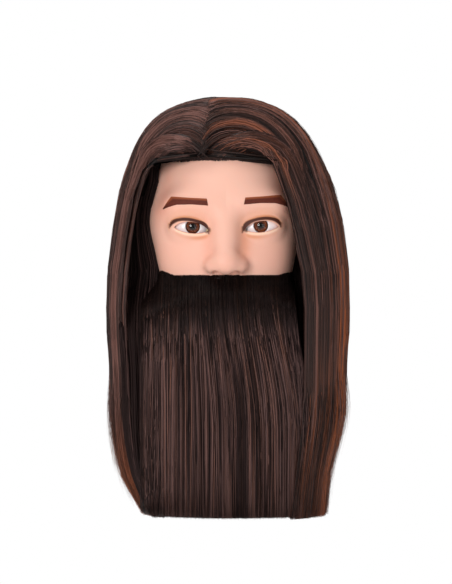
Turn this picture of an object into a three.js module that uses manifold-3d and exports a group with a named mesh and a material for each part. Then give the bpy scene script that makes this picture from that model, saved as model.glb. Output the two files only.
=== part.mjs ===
// A barber's training head: a soft vinyl head on a foam core, with inserted eyes, rooted long hair parted
// off centre, a full beard, and a socket in the neck for the post of a bench clamp.
// Millimetres. Z is up, the face looks along -Y, and the head's own left side is +X.
// The origin is the centre of the flat underside of the neck, where the clamp's collar meets it.
import * as THREE from "three";
import { mergeVertices } from "three/addons/utils/BufferGeometryUtils.js";
import Module from "manifold-3d";

const wasm = await Module();
wasm.setup();

// ---------- Driving dimensions ----------
const GAP = 0.3; // between pieces that touch
const SKIN_WALL = 3.2;
const HEAD_AXIS_Y = -6; // the cranium's middle, front to back
const NECK_AXIS_Y = 6;
const RAY_CENTRE_Z = 200; // the height that the cranium and face are measured from
const FIRST_RAY = 82; // degrees above level, near the crown
const FACE_DIP = -30; // degrees, the lowest ray from that height

const EYE = { x: 32, y: -84, z: 185, radii: [19, 13, 14], depth: 3 }; // depth: behind its middle
const EYE_ROOM = 1.2; // clearance around an eye in the skin
const EYE_OPENING = { x: 33.2, half: 17.6, rise: 6.2, drop: 5.4, tilt: 5 };
const IRIS = { radius: 6.6, seat: -95.1, thickness: 0.7, dome: 9 };
const FILM = { gap: 0.4, thickness: 0.6 }; // a brow
const BROW = [[16.2, 205.2], [17.8, 212], [50.5, 215.4], [58.6, 203.8], [45, 206.4], [32, 206.8]];

const SOCKET = { mouth: 12, end: 11, depth: 88, tube: 17.5, flange: 30, flangeThickness: 3, top: 95 };
const COLLARS = { radius: 22, height: 3, at: [35, 65] }; // they anchor the socket in the foam
const PLATE_THICKNESS = 4;
const SCREW = { circle: 23, head: 3.8, shank: 1.9, sink: 2.4, length: 16, tip: 2, count: 4 };

const HAIR = {
  top: 309, // crown of the hair
  shoulder: 110, // below this height the hair hangs
  hem: -86,
  width: 114,
  axisX: 2, // it is dressed a little to the head's left
  front: 121,
  back: 122,
  axisY: -8,
  roundness: 2.5,
  thickness: 22, // of a hanging section
  taperRight: 0.3, // share of its half-width that each side loses by the hem
  taperLeft: 0.17,
  taperFront: 0.14,
  taperBack: 0.12,
};
const HAIR_TOP_LEVELS = [308.6, 305, 298, 286, 268, 245, 215, 175, 140];
const HAIR_HANGING_LEVELS = [110, 60, 10, -30, -60, HAIR.hem];
const BELL_LEVELS = [138, 130, 110, 60, 20, -20, -60, HAIR.hem - 2]; // the free space inside the hair
const BELL_SHRINK = [60, 34, 24]; // at its first levels, where it closes in on the head
const HAIR_DEPTH = 2.6; // the clearance of the hair's solids over the skin
const EAR_ROOM = { centre: [71, 13, 180], radii: [17, 30, 60] };
const NOSE_ROOM = { centre: [0, -106, 152], radii: [26, 21, 14.5] };
const LIP_ROOM = { centre: [0, -98, 118], radii: [30, 13, 15] };
const HAIRLINE = { z: 246, right: -60, left: 42, back: -48, top: 261, depth: 9 };
const FACE_BACK = -38; // how far back the face's opening in the hair reaches
const BEARD = { right: -79, left: 74, top: 141, root: 3.4, depth: 40, full: 96 };
const MOUSTACHE = { right: -27, left: 27, bottom: 124 };
const CROWN = [-8, 22]; // where the sections meet, seen from above
const PART_FRONT = [-21, -112]; // the parting's front end

const DEG = Math.PI / 180;
const clamp01 = (v) => Math.min(1, Math.max(0, v));
const smooth = (a, b, v) => {
  const t = clamp01((v - a) / (b - a));
  return t * t * (3 - 2 * t);
};

// ---------- Solids ----------
function solidOf(geometry) {
  const g = geometry.clone();
  g.deleteAttribute("normal");
  g.deleteAttribute("uv");
  const merged = mergeVertices(g, 1e-3);
  return new wasm.Manifold(
    new wasm.Mesh({
      numProp: 3,
      vertProperties: merged.attributes.position.array,
      triVerts: new Uint32Array(merged.index.array),
    }),
  );
}

function geometryOf(solid) {
  const mesh = solid.getMesh();
  const g = new THREE.BufferGeometry();
  g.setAttribute("position", new THREE.BufferAttribute(mesh.vertProperties, 3));
  g.setIndex(new THREE.BufferAttribute(mesh.triVerts, 1));
  g.computeVertexNormals();
  return g;
}

// A closed body through rings of points, from the top down, each ring counter-clockwise seen from above.
function loft(rings) {
  const n = rings[0].length;
  const points = rings.flat();
  const top = new THREE.Vector3();
  const bottom = new THREE.Vector3();
  rings[0].forEach((p) => top.addScaledVector(p, 1 / n));
  rings.at(-1).forEach((p) => bottom.addScaledVector(p, 1 / n));
  const topIndex = points.push(top) - 1;
  const bottomIndex = points.push(bottom) - 1;
  const index = [];
  for (let i = 0; i < n; i++) {
    const j = (i + 1) % n;
    index.push(topIndex, i, j);
    for (let r = 0; r + 1 < rings.length; r++) {
      const a = r * n;
      const b = a + n;
      index.push(a + i, b + i, b + j, a + i, b + j, a + j);
    }
    const last = (rings.length - 1) * n;
    index.push(bottomIndex, last + j, last + i);
  }
  const g = new THREE.BufferGeometry().setFromPoints(points);
  g.setIndex(index);
  return g;
}

function ellipsoidAt(centre, radii, across = 16, up = 10) {
  return solidOf(new THREE.SphereGeometry(1, across, up).scale(...radii).translate(...centre));
}

function boxBetween(low, high) {
  const size = high.map((v, i) => v - low[i]);
  const centre = low.map((v, i) => v + size[i] / 2);
  return solidOf(new THREE.BoxGeometry(...size).translate(...centre));
}

// A body of revolution about the vertical line through (x, y). Its profile is radius and height, top first.
function turned(profile, x = 0, y = 0, segments = 24) {
  const points = profile.map((p) => new THREE.Vector2(...p)).reverse();
  const g = new THREE.LatheGeometry(points, segments);
  return solidOf(g.rotateX(Math.PI / 2).translate(x, y, 0));
}

// An outline in X and Z, pushed along Y.
function alongY(shape, from, to) {
  const g = new THREE.ExtrudeGeometry(shape, { depth: to - from, bevelEnabled: false, curveSegments: 6 });
  return solidOf(g.rotateX(Math.PI / 2).translate(0, to, 0));
}

// An outline in X and Y, pushed up Z.
function alongZ(corners, low, high) {
  const shape = new THREE.Shape(corners.map((p) => new THREE.Vector2(...p)));
  const g = new THREE.ExtrudeGeometry(shape, { depth: high - low, bevelEnabled: false });
  return solidOf(g.translate(0, 0, low));
}

// ---------- Shape of the head ----------
// Distance fields: negative inside, positive outside.
function ellipsoid(p, c, r) {
  const x = p.x - c[0];
  const y = p.y - c[1];
  const z = p.z - c[2];
  const near = Math.hypot(x / r[0], y / r[1], z / r[2]);
  const slope = Math.hypot(x / r[0] ** 2, y / r[1] ** 2, z / r[2] ** 2);
  return slope < 1e-9 ? -Math.min(...r) : (near * (near - 1)) / slope;
}

function roundCone(p, a, b, ra, rb) {
  const ab = [b[0] - a[0], b[1] - a[1], b[2] - a[2]];
  const ap = [p.x - a[0], p.y - a[1], p.z - a[2]];
  const along = ap[0] * ab[0] + ap[1] * ab[1] + ap[2] * ab[2];
  const t = clamp01(along / (ab[0] ** 2 + ab[1] ** 2 + ab[2] ** 2));
  return Math.hypot(ap[0] - t * ab[0], ap[1] - t * ab[1], ap[2] - t * ab[2]) - (ra + t * (rb - ra));
}

function join(a, b, k) {
  const h = Math.max(k - Math.abs(a - b), 0) / k;
  return Math.min(a, b) - h * h * k * 0.25;
}

const carve = (a, b, k) => -join(-a, b, k);

function neckField(p) {
  const flare = 7 * smooth(40, 0, p.z);
  const rx = 54 + flare;
  const ry = 57 + flare;
  const wall = (Math.hypot(p.x / rx, (p.y - 10) / ry) - 1) * rx;
  return Math.max(wall, p.z - 150);
}

// The plain head: cranium, face and neck, which the foam core fills.
function plainField(p) {
  const cranium = ellipsoid(p, [0, HEAD_AXIS_Y, 211], [75, 94, 86]);
  const face = ellipsoid(p, [0, -34, 150], [66, 68, 80]);
  return join(join(cranium, face, 24), neckField(p), 30);
}

// The features that stand on the plain head, the same on both sides, so x is taken as positive.
function headField(point) {
  const p = { x: Math.abs(point.x), y: point.y, z: point.z };
  let f = plainField(p);
  f = join(f, ellipsoid(p, [28, -88, 206], [26, 12, 9]), 12); // brow ridge
  f = join(f, ellipsoid(p, [42, -70, 158], [26, 26, 24]), 15); // cheek
  f = carve(f, ellipsoid(p, [32, -108, 187], [20, 12, 12]), 14); // eye socket
  f = join(f, ellipsoid(p, [EYE.x, EYE.y, EYE.z], [22, 15.9, 17]), 5); // eyelids
  f = join(f, roundCone(p, [0, -94, 192], [0, -110, 154], 8, 10), 12); // bridge of the nose
  f = join(f, ellipsoid(p, [0, -112, 152], [10, 10, 9]), 6); // tip
  f = join(f, ellipsoid(p, [12.5, -105, 149], [8, 10, 7.5]), 5); // nostril's wing
  f = join(f, ellipsoid(p, [0, -97, 122], [24, 10, 9]), 8); // lips
  f = join(f, ellipsoid(p, [0, -84, 88], [24, 18, 16]), 16); // chin
  f = join(f, ellipsoid(p, [76, 8, 183], [6, 17, 31]), 6); // ear
  return f;
}

// The rays that the head's rings are found along: from one centre down to the mouth, then lower and level.
function rayFamily(across, down) {
  const rays = [];
  for (let i = 0; i < across; i++) {
    const dip = FIRST_RAY + ((FACE_DIP - FIRST_RAY) * i) / (across - 1);
    rays.push({ z: RAY_CENTRE_Z, dip, share: 0 });
  }
  for (let i = 1; i <= down; i++) {
    const share = i / down;
    rays.push({ z: RAY_CENTRE_Z * (1 - share), dip: FACE_DIP * (1 - share), share });
  }
  return rays;
}

// Headings about the head, closer together at the face the larger gather is.
function headings(count, gather) {
  return Array.from({ length: count }, (_, i) => {
    const t = (i / count) * 2 * Math.PI;
    return -Math.PI / 2 + t - gather * Math.sin(t);
  });
}

function surfacePoint(ray, heading, field, offset) {
  const y0 = HEAD_AXIS_Y + (NECK_AXIS_Y - HEAD_AXIS_Y) * ray.share;
  const level = Math.cos(ray.dip * DEG);
  const rise = Math.sin(ray.dip * DEG);
  const way = new THREE.Vector3(Math.cos(heading) * level, Math.sin(heading) * level, rise);
  const start = new THREE.Vector3(0, y0, ray.z);
  let far = 190;
  for (let step = 0; step < 120 && far > 0; step++) {
    const f = field(start.clone().addScaledVector(way, far)) - offset;
    if (f < 0.005) break;
    far -= f * 0.7;
  }
  return start.addScaledVector(way, far);
}

function headSolid({ field, columns, across, down, gather = 0, offset = 0, floor = 0 }) {
  const turns = headings(columns, gather);
  const rings = rayFamily(across, down).map((ray) =>
    turns.map((heading) => surfacePoint(ray, heading, field, offset)),
  );
  if (floor < 0) rings.push(rings.at(-1).map((p) => new THREE.Vector3(p.x, p.y, floor)));
  return solidOf(loft(rings));
}

// ---------- Eyes ----------
function eyeOpening(side) {
  const { half, rise, drop, tilt } = EYE_OPENING;
  const shape = new THREE.Shape();
  shape.moveTo(-half, 0);
  shape.bezierCurveTo(-half * 0.5, -drop * 1.3, half * 0.5, -drop * 1.3, half, 0);
  shape.bezierCurveTo(half * 0.5, rise * 1.35, -half * 0.5, rise * 1.35, -half, 0);
  const g = new THREE.ExtrudeGeometry(shape, { depth: 40, bevelEnabled: false, curveSegments: 6 });
  g.rotateZ(side * tilt * DEG).rotateX(Math.PI / 2);
  return solidOf(g.translate(side * EYE_OPENING.x, EYE.y, EYE.z));
}

// An oval, flat-backed eye, grown all round by spare.
function eyeBody(side, spare) {
  const x = side * EYE.x;
  const radii = EYE.radii.map((r) => r + spare);
  const back = EYE.y + EYE.depth + spare;
  const kept = boxBetween([x - 30, EYE.y - 30, EYE.z - 30], [x + 30, back, EYE.z + 30]);
  return ellipsoidAt([x, EYE.y, EYE.z], radii, 20, 12).intersect(kept);
}

function discAt(side, radius, from, to) {
  const g = new THREE.CylinderGeometry(radius, radius, to - from, 20);
  return solidOf(g.translate(side * EYE.x, (from + to) / 2, EYE.z));
}

function eyeGlobe(side) {
  const pocket = discAt(side, IRIS.radius + GAP, -110, IRIS.seat + IRIS.thickness + GAP);
  return eyeBody(side, 0).subtract(pocket);
}

const irisDisc = (side) => discAt(side, IRIS.radius, IRIS.seat, IRIS.seat + IRIS.thickness);

// The clear cap: flat behind, domed in front.
function cornea(side) {
  const back = IRIS.seat - GAP;
  const centre = back + Math.sqrt(IRIS.dome ** 2 - IRIS.radius ** 2);
  const x = side * EYE.x;
  const dome = ellipsoidAt([x, centre, EYE.z], [IRIS.dome, IRIS.dome, IRIS.dome], 20, 12);
  return dome.intersect(boxBetween([x - 20, back - 20, EYE.z - 20], [x + 20, back, EYE.z + 20]));
}

// ---------- Films on the skin ----------
// A film of even depth over the part of the skin inside an outline seen from the front.
function filmOver(skinBody, outline) {
  const near = skinBody.translate([0, -FILM.gap, 0]);
  const far = skinBody.translate([0, -FILM.gap - FILM.thickness, 0]);
  return far.subtract(near).intersect(alongY(outline, -140, -50));
}

function browFilm(skinBody, side) {
  return filmOver(skinBody, new THREE.Shape(BROW.map(([x, z]) => new THREE.Vector2(side * x, z))));
}

// ---------- Neck fittings ----------
function neckSocket() {
  const { mouth, end, depth, tube, flange, flangeThickness, top } = SOCKET;
  const { radius, height, at } = COLLARS;
  const base = PLATE_THICKNESS + GAP;
  const collars = [...at].reverse().flatMap((z) => [
    [tube, z + height],
    [radius, z + height],
    [radius, z],
    [tube, z],
  ]);
  return turned([
    [0, top],
    [tube, top],
    ...collars,
    [tube, base + flangeThickness],
    [flange, base + flangeThickness],
    [flange, base],
    [mouth, base],
    [end, depth],
    [0, depth],
  ]);
}

// What the foam leaves free for the socket, its flange and the plate.
function socketRoom() {
  const tube = COLLARS.radius + 0.5;
  const top = SOCKET.top + GAP;
  const step = PLATE_THICKNESS + SOCKET.flangeThickness + 3 * GAP;
  const flange = SOCKET.flange + GAP;
  return turned([[0, top], [tube, top], [tube, step], [flange, step], [flange, 0], [0, 0]]);
}

function basePlate(coreBody) {
  const radius = SOCKET.mouth + 1;
  const hole = turned([[0, PLATE_THICKNESS + 1], [radius, PLATE_THICKNESS + 1], [radius, -1], [0, -1]]);
  return coreBody.intersect(boxBetween([-90, -90, 0], [90, 90, PLATE_THICKNESS])).subtract(hole);
}

function screwPlaces() {
  return Array.from({ length: SCREW.count }, (_, i) => {
    const turn = (45 + (i * 360) / SCREW.count) * DEG;
    return [SCREW.circle * Math.cos(turn), SCREW.circle * Math.sin(turn)];
  });
}

function screw([x, y]) {
  const { head, shank, sink, length, tip } = SCREW;
  const point = [[0, length], [shank / 2, length], [shank, length - tip]];
  return turned([...point, [shank, sink], [head, GAP], [0, GAP]], x, y, 12);
}

// The countersunk hole for one screw, open below.
function screwHole([x, y]) {
  const { head, shank, sink, length } = SCREW;
  const r = shank + GAP;
  const rim = head + GAP;
  const top = length + GAP;
  return turned([[0, top], [r, top], [r, sink + GAP], [rim, GAP], [rim, -1], [0, -1]], x, y, 12);
}

// ---------- Hair ----------
const hairScale = (z) => {
  const t = clamp01((z - HAIR.shoulder) / (HAIR.top - HAIR.shoulder));
  return (1 - t ** HAIR.roundness) ** (1 / HAIR.roundness);
};

// How far down the hanging length a height is, from 0 to 1.
const fall = (z) => clamp01((HAIR.shoulder - z) / (HAIR.shoulder - HAIR.hem));

function hairReach(z) {
  const down = fall(z);
  return {
    right: HAIR.width * (1 - HAIR.taperRight * down ** 3.2),
    left: HAIR.width * (1 - HAIR.taperLeft * smooth(0.3, 0.95, down)),
    front: HAIR.front * (1 - HAIR.taperFront * down ** 1.5),
    back: HAIR.back * (1 - HAIR.taperBack * down ** 1.5),
  };
}

function hairRing(z, count, inset = 0, scale = hairScale(z)) {
  const reach = hairReach(z);
  return Array.from({ length: count }, (_, i) => {
    const turn = (i / count) * 2 * Math.PI;
    const c = Math.cos(turn);
    const s = Math.sin(turn);
    const a = (c < 0 ? reach.right : reach.left) * scale - inset;
    const b = (s < 0 ? reach.front : reach.back) * scale - inset;
    const power = 2 / 2.3;
    return new THREE.Vector3(
      HAIR.axisX + Math.sign(c) * Math.abs(c) ** power * a,
      HAIR.axisY + Math.sign(s) * Math.abs(s) ** power * b,
      z,
    );
  });
}

function hairEnvelope() {
  return solidOf(loft([...HAIR_TOP_LEVELS, ...HAIR_HANGING_LEVELS].map((z) => hairRing(z, 36))));
}

// The free space under the head, inside the hanging hair.
function hairBell() {
  const rings = BELL_LEVELS.map((z, i) => hairRing(z, 24, BELL_SHRINK[i] ?? HAIR.thickness, 1));
  return solidOf(loft(rings));
}

// The head with the clearance that its hair needs, and more round the ears, nose and lips.
function hairClearance() {
  const grid = { columns: 28, across: 13, down: 6, gather: 0.2 };
  let room = headSolid({ field: headField, ...grid, offset: HAIR_DEPTH, floor: -4 });
  for (const side of [-1, 1]) {
    const [x, y, z] = EAR_ROOM.centre;
    room = room.add(ellipsoidAt([side * x, y, z], EAR_ROOM.radii));
  }
  for (const { centre, radii } of [NOSE_ROOM, LIP_ROOM]) room = room.add(ellipsoidAt(centre, radii));
  return room;
}

// The beard leaves the skin along its top edge and stands farther out towards its full depth.
function beardRoom() {
  const { root, depth, top, full } = BEARD;
  const standing = (p) => headField(p) - root - (depth - root) * smooth(top, full, p.z);
  const upper = headSolid({ field: standing, columns: 28, across: 16, down: 4, gather: 0.2 });
  return upper.add(boxBetween([-120, -200, HAIR.hem - 5], [120, 0, full]));
}

// What the face shows through, and the beard below it, seen from the front.
function faceOpening() {
  const shape = new THREE.Shape();
  shape.moveTo(BEARD.right, HAIR.hem - 4);
  shape.lineTo(BEARD.left, HAIR.hem - 4);
  shape.lineTo(BEARD.left, 118);
  shape.quadraticCurveTo(68, 215, 42, 250);
  shape.quadraticCurveTo(22, 261, -20, 262);
  shape.quadraticCurveTo(-58, 262, -74, 238);
  shape.quadraticCurveTo(-88, 200, -90, 140);
  shape.lineTo(BEARD.right, 112);
  shape.closePath();
  return alongY(shape, -210, FACE_BACK);
}

// The short roots that stand along the hairline, under the swept front.
function hairlineRoots(clearance, opening) {
  const { z, right, left, back, top, depth } = HAIRLINE;
  const grown = headSolid({ field: headField, columns: 28, across: 13, down: 5, gather: 0.2, offset: depth });
  const strip = boxBetween([right, -140, z], [left, back, top]);
  return grown.subtract(clearance).intersect(opening.translate([0, 0, -2 * GAP])).intersect(strip);
}

const towards = (degrees, far = 420) => [
  CROWN[0] + far * Math.cos(degrees * DEG),
  CROWN[1] + far * Math.sin(degrees * DEG),
];

// A wedge of the hair about the crown, between two directions seen from above, held in from its neighbours.
function wedge(from, to) {
  const middle = (from + to) / 2;
  const inset = GAP / 2 / Math.sin(((to - from) / 2) * DEG);
  const shift = [inset * Math.cos(middle * DEG), inset * Math.sin(middle * DEG)];
  const steps = Math.max(1, Math.round((to - from) / 40));
  const corners = [CROWN];
  for (let i = 0; i <= steps; i++) corners.push(towards(from + ((to - from) * i) / steps));
  return alongZ(corners.map((p) => [p[0] + shift[0], p[1] + shift[1]]), HAIR.hem - 1, HAIR.top + 1);
}

const PART_HEADING = Math.atan2(PART_FRONT[1] - CROWN[1], PART_FRONT[0] - CROWN[0]) / DEG;
const HAIR_SECTIONS = [
  { name: "hair_front_right", from: PART_HEADING - 62, to: PART_HEADING },
  { name: "hair_side_right", from: PART_HEADING - 100, to: PART_HEADING - 62 },
  { name: "hair_back_right", from: PART_HEADING - 152, to: PART_HEADING - 100 },
  { name: "hair_back_centre", from: PART_HEADING - 202, to: PART_HEADING - 152 },
  { name: "hair_back_left", from: PART_HEADING - 252, to: PART_HEADING - 202 },
  { name: "hair_side_left", from: PART_HEADING - 296, to: PART_HEADING - 252 },
  { name: "hair_front_left", from: PART_HEADING - 360, to: PART_HEADING - 296 },
];
const BEARD_SECTIONS = [
  { name: "beard_right", from: BEARD.right + 2 * GAP, to: MOUSTACHE.right, top: BEARD.top },
  { name: "beard_centre", from: MOUSTACHE.right + GAP, to: MOUSTACHE.left, top: MOUSTACHE.bottom },
  { name: "beard_left", from: MOUSTACHE.left + GAP, to: BEARD.left - 2 * GAP, top: BEARD.top },
];

// ---------- Materials ----------
const finish = (color, roughness, metalness = 0, extra = {}) =>
  new THREE.MeshStandardMaterial({ color, roughness, metalness, ...extra });
const MATERIALS = {
  skin: finish(0xf2c4ae, 0.5),
  foam: finish(0xe6d9b0, 0.95),
  socket: finish(0x2b2b2d, 0.55),
  plate: finish(0xd8d2c8, 0.5),
  steel: finish(0xb8bcc0, 0.35, 0.9),
  eyeWhite: finish(0xf4f0ec, 0.2),
  iris: finish(0x4a2415, 0.35),
  cornea: finish(0xffffff, 0.05, 0, { transparent: true, opacity: 0.2 }),
  brow: finish(0x4a261d, 0.6),
  hair: finish(0x3c2b28, 0.45),
  beard: finish(0x35272a, 0.45),
};

// ---------- Assembly ----------
const head = new THREE.Group();

function add(name, solid, material) {
  const mesh = new THREE.Mesh(geometryOf(solid), material);
  mesh.name = name;
  head.add(mesh);
}

const outer = headSolid({ field: headField, columns: 38, across: 19, down: 7, gather: 0.5 });
const plain = { field: plainField, columns: 20, across: 10, down: 8 };
const inner = headSolid({ ...plain, offset: -SKIN_WALL, floor: -2 });
const core = headSolid({ ...plain, offset: -SKIN_WALL - GAP });

let skin = outer.subtract(inner);
let foam = core.subtract(boxBetween([-90, -90, -5], [90, 90, PLATE_THICKNESS + GAP])).subtract(socketRoom());
for (const side of [-1, 1]) {
  skin = skin.subtract(eyeBody(side, EYE_ROOM)).subtract(eyeOpening(side));
  foam = foam.subtract(eyeBody(side, EYE_ROOM));
}

let socket = neckSocket();
let plate = basePlate(core);
const screws = screwPlaces();
for (const place of screws) {
  const hole = screwHole(place);
  plate = plate.subtract(hole);
  socket = socket.subtract(hole);
  foam = foam.subtract(hole);
}

add("head_skin", skin, MATERIALS.skin);
add("foam_core", foam, MATERIALS.foam);
add("clamp_socket", socket, MATERIALS.socket);
add("base_plate", plate, MATERIALS.plate);
screws.forEach((place, i) => add(`base_screw_${i + 1}`, screw(place), MATERIALS.steel));
for (const [side, name] of [[-1, "right"], [1, "left"]]) {
  add(`eye_globe_${name}`, eyeGlobe(side), MATERIALS.eyeWhite);
  add(`eye_iris_${name}`, irisDisc(side), MATERIALS.iris);
  add(`eye_cornea_${name}`, cornea(side), MATERIALS.cornea);
  add(`brow_${name}`, browFilm(outer, side), MATERIALS.brow);
}

const clearance = hairClearance();
const opening = faceOpening();
const bulk = hairEnvelope().subtract(clearance).subtract(hairBell());
const hair = bulk.subtract(opening);
for (const { name, from, to } of HAIR_SECTIONS) add(name, hair.intersect(wedge(from, to)), MATERIALS.hair);
add("hairline_roots", hairlineRoots(clearance, opening), MATERIALS.hair);

const beard = bulk.intersect(opening).intersect(beardRoom());
const beardBack = FACE_BACK - 1;
for (const { name, from, to, top } of BEARD_SECTIONS) {
  add(name, beard.intersect(boxBetween([from, -200, HAIR.hem], [to, beardBack, top])), MATERIALS.beard);
}
const lip = boxBetween(
  [MOUSTACHE.right + 1, -200, MOUSTACHE.bottom + GAP],
  [MOUSTACHE.left - 0.6, beardBack, BEARD.top],
);
add("moustache", beard.intersect(lip), MATERIALS.beard);

export default head;
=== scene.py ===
"""A mannequin training head: painted vinyl skin, glossy eyes, long rooted hair and a full beard."""

import math

import bpy
import mathutils
import numpy as np
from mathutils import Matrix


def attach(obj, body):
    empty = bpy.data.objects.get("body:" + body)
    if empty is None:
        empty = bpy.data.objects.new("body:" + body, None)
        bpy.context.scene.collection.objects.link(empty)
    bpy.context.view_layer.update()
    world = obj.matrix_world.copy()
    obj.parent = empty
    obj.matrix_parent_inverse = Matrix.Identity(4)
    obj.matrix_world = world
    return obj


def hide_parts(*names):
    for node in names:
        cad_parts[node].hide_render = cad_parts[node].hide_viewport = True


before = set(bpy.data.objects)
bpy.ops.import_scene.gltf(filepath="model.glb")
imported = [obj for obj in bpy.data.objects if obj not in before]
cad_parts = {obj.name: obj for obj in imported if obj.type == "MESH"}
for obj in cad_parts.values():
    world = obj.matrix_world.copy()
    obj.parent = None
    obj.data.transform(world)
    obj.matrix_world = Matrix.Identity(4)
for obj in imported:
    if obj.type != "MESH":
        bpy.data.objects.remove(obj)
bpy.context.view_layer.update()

MM = 0.001
RNG = np.random.default_rng(31)

# ---- Sizes, in millimetres: X to the head's left, Y to its back, Z up
HEAD_AXIS_Y, NECK_AXIS_Y, RAY_CENTRE_Z = -6.0, 6.0, 200.0
SKIN_WALL = 3.2
FACE_Y, BESIDE_FACE_Y, SKIN_STOP = -60.0, -45.0, -38.0  # back limits of the face, hair beside it, and skin
EYE_Y, EYE_Z, EYE_RADII = -84.0, 185.0, (19.0, 13.0, 14.0)
# Each eye by side: the middle and half width of its opening and of the painted line over it, the middle of its
# iris, and how far all of it is raised.
EYES = {
    -1: {"open": 32.2, "half": 15.6, "line": 34.2, "line_half": 17.8, "iris": 30.8, "lift": -0.3},
    1: {"open": 33.0, "half": 15.4, "line": 33.1, "line_half": 17.5, "iris": 32.3, "lift": 0.6},
}
IRIS_RADIUS, IRIS_Y, IRIS_Z = 6.7, -95.0, 185.9
HAIR_TOP, SHOULDER, HEM = 311.5, 110.0, -86.5
HAIR_X, HAIR_Y = 2.0, -8.0
REACH = {"side": 117.0, "front": 122.0, "back": 123.5}
RING_POWER, DOME_POWER = 2.3, 2.5
BEARD_RIGHT, BEARD_LEFT, BEARD_TOP = -79.0, 64.0, 141.0
HAIRLINE_Z = 246.0
WORDS = {-1: "right", 1: "left"}

# How many strands each part gets.
SECTION_STRANDS, LAYER_STRANDS, HAIRLINE_STRANDS, MOUSTACHE_STRANDS = 1400, 700, 1300, 420


def unit(v):
    return np.clip(v, 0, 1)


def smooth(a, b, v):
    t = unit((np.asarray(v, float) - a) / (b - a))
    return t * t * (3 - 2 * t)


def bell(v, middle, width):
    return np.exp(-(((v - middle) / width) ** 2))


def evenly(count):
    return np.linspace(0, 1, count)


def mix(a, b, t):
    return a + (b - a) * t


# ---- The head's surface: negative inside, positive outside
def ellipsoid(x, y, z, c, r):
    px, py, pz = x - c[0], y - c[1], z - c[2]
    near = np.sqrt((px / r[0]) ** 2 + (py / r[1]) ** 2 + (pz / r[2]) ** 2)
    slope = np.sqrt((px / r[0] ** 2) ** 2 + (py / r[1] ** 2) ** 2 + (pz / r[2] ** 2) ** 2)
    return near * (near - 1) / np.maximum(slope, 1e-9)


def round_cone(x, y, z, a, b, ra, rb):
    ab = np.subtract(b, a)
    ap = (x - a[0], y - a[1], z - a[2])
    t = unit((ap[0] * ab[0] + ap[1] * ab[1] + ap[2] * ab[2]) / (ab @ ab))
    return np.sqrt(sum((p - t * d) ** 2 for p, d in zip(ap, ab))) - mix(ra, rb, t)


def join(a, b, k):
    h = np.maximum(k - np.abs(a - b), 0) / k
    return np.minimum(a, b) - h * h * k * 0.25


def carve(a, b, k):
    return -join(-a, b, k)


def plain_field(x, y, z):
    flare = 7 * smooth(40, 0, z)
    rx, ry = 54 + flare, 57 + flare
    neck = np.maximum((np.hypot(x / rx, (y - 10) / ry) - 1) * rx, z - 150)
    cranium = ellipsoid(x, y, z, (0, HEAD_AXIS_Y, 211), (75, 94, 86))
    face = ellipsoid(x, y, z, (0, -34, 150), (61, 68, 80))
    return join(join(cranium, face, 24), neck, 30)


HEAD_PARTS = [  # joined or carved in turn, on the left half: how, how softly, and the shape with its sizes
    (join, 16, ellipsoid, (28, -84, 206), (28, 15, 12)),  # brow ridge
    (join, 20, ellipsoid, (40.6, -50, 190), (27, 32, 26)),  # cheekbone and temple
    (join, 22, ellipsoid, (35, -66, 158), (24, 24, 28)),  # cheek
    (carve, 16, ellipsoid, (30, -110, 187), (17, 11, 11)),  # eye socket
    (join, 5, ellipsoid, (32, EYE_Y, EYE_Z), (22, 15.9, 17)),  # eyelids
    (join, 12, round_cone, (0, -94, 192), (0, -110, 154), 8, 10),  # bridge of the nose
    (join, 9, ellipsoid, (0, -112, 152), (11, 10, 8.5)),  # tip
    (join, 8, ellipsoid, (12.5, -104, 149.5), (7.5, 9.5, 6.5)),  # nostril's wing
    (carve, 2, ellipsoid, (8, -108, 142.5), (4.6, 6.5, 4.2)),  # nostril
    (join, 8, ellipsoid, (0, -97, 122), (24, 10, 9)),  # lips
    (join, 16, ellipsoid, (0, -84, 88), (24, 18, 16)),  # chin
    (join, 6, ellipsoid, (76, 8, 183), (6, 17, 31)),  # ear
]


def head_field(x, y, z):
    x = np.abs(x)
    field = plain_field(x, y, z)
    for how, soft, shape, *sizes in HEAD_PARTS:
        field = how(field, shape(x, y, z, *sizes), soft)
    return field


def skin_y(x, z, stop=-30.0, stand=0.0):
    """How far forward the skin, or the surface that stands off it, is at (x, z); stop where there is none."""
    x, z = np.broadcast_arrays(np.asarray(x, float), np.asarray(z, float))
    y = np.full(x.shape, -170.0)
    for _ in range(80):
        y = np.minimum(y + 0.7 * (head_field(x, y, z) - stand), stop)
    return y


class Table:
    """A function of (x, z) worked out once on an even grid and read between its points."""

    def __init__(self, make, x_range, z_range, pitch=1.5):
        self.low = np.array([x_range[0], z_range[0]])
        self.pitch = pitch
        x = np.arange(x_range[0], x_range[1] + pitch, pitch)
        z = np.arange(z_range[0], z_range[1] + pitch, pitch)
        self.values = make(x[:, None] + 0 * z[None, :], z[None, :] + 0 * x[:, None])

    def __call__(self, x, z):
        u = np.clip((x - self.low[0]) / self.pitch, 0, self.values.shape[0] - 1.001)
        v = np.clip((z - self.low[1]) / self.pitch, 0, self.values.shape[1] - 1.001)
        i, j = u.astype(int), v.astype(int)
        a, b, t = u - i, v - j, self.values
        return mix(mix(t[i, j], t[i + 1, j], a), mix(t[i, j + 1], t[i + 1, j + 1], a), b)


# ---- Meshes
def grid(x, y, z):
    return np.stack([x, y, z], -1)


def new_object(name, data):
    obj = bpy.data.objects.new(name, data)
    bpy.context.scene.collection.objects.link(obj)
    return obj


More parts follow.
